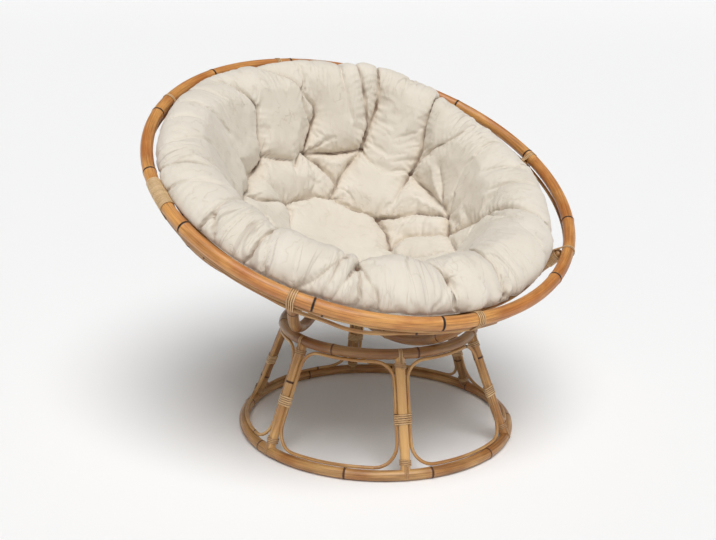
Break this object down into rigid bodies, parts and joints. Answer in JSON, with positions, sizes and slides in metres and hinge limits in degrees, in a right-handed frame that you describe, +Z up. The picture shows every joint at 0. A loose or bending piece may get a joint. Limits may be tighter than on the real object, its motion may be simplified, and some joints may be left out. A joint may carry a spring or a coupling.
{
  "type": "papasan chair",
  "caption": "Round cane lounge chair: a dished bowl of bent cane tilts on a ring stand, and a thick tufted round cushion lies in the bowl.",
  "frame": {"origin": "on the floor, straight below the middle of the bowl's rim", "axes": "+Z up; the chair faces -Y, with the low front of the bowl on that side and its high back at +Y; +X to the right as seen from the front"},
  "size_m": [1.1012, 0.991, 0.8927],
  "materials": {
    "rim_cane": "satin",
    "cane": "satin",
    "thin_cane": "satin",
    "peel": "satin",
    "canvas": "matte"
  },
  "bodies": {
    "stand": {"base_bottom_ring": "cane", "base_top_ring": "cane", "base_leg_1": "cane", "base_leg_2": "cane", "base_leg_3": "cane", "base_leg_4": "cane", "base_leg_5": "cane", "base_leg_6": "cane", "base_loop_1": "thin_cane", "base_loop_2": "thin_cane", "base_loop_3": "thin_cane", "base_loop_4": "thin_cane", "base_loop_5": "thin_cane", "base_loop_6": "thin_cane", "leg_mid_lashing_1": "peel", "leg_mid_lashing_2": "peel", "leg_mid_lashing_3": "peel", "leg_mid_lashing_4": "peel", "leg_mid_lashing_5": "peel", "leg_mid_lashing_6": "peel", "leg_base_lashing_1": "peel", "leg_base_lashing_2": "peel", "leg_base_lashing_3": "peel", "leg_base_lashing_4": "peel", "leg_base_lashing_5": "peel", "leg_base_lashing_6": "peel", "leg_top_lashing_1": "peel", "leg_top_lashing_2": "peel", "leg_top_lashing_3": "peel", "leg_top_lashing_4": "peel", "leg_top_lashing_5": "peel", "leg_top_lashing_6": "peel"},
    "bowl": {"bowl_rim": "rim_cane", "bowl_hub_ring": "cane", "bowl_inner_rod": "thin_cane", "bowl_outer_rod": "thin_cane", "bowl_rib_1": "cane", "bowl_rib_2": "cane", "bowl_rib_3": "cane", "bowl_rib_4": "cane", "bowl_rib_5": "cane", "bowl_rib_6": "cane", "bowl_rib_7": "cane", "bowl_rib_8": "cane", "rim_lashing_1": "peel", "rim_lashing_2": "peel", "rim_lashing_3": "peel", "rim_lashing_4": "peel", "rim_splice_wrap": "peel", "rim_lashing_6": "peel", "rim_lashing_7": "peel", "rim_lashing_8": "peel"},
    "cushion": {"cushion": "canvas"}
  },
  "joints": [
    {"name": "bowl_tilt", "type": "hinge", "parent": "stand", "child": "bowl", "pos_m": [0, -0.08589, 0.79708], "axis": [1, 0, 0], "range_deg": [-26.5, 10]},
    {"name": "cushion_lift", "type": "slide", "parent": "bowl", "child": "cushion", "axis": [0, -0.4462, 0.8949], "range_m": [0, 0.5]}
  ]
}
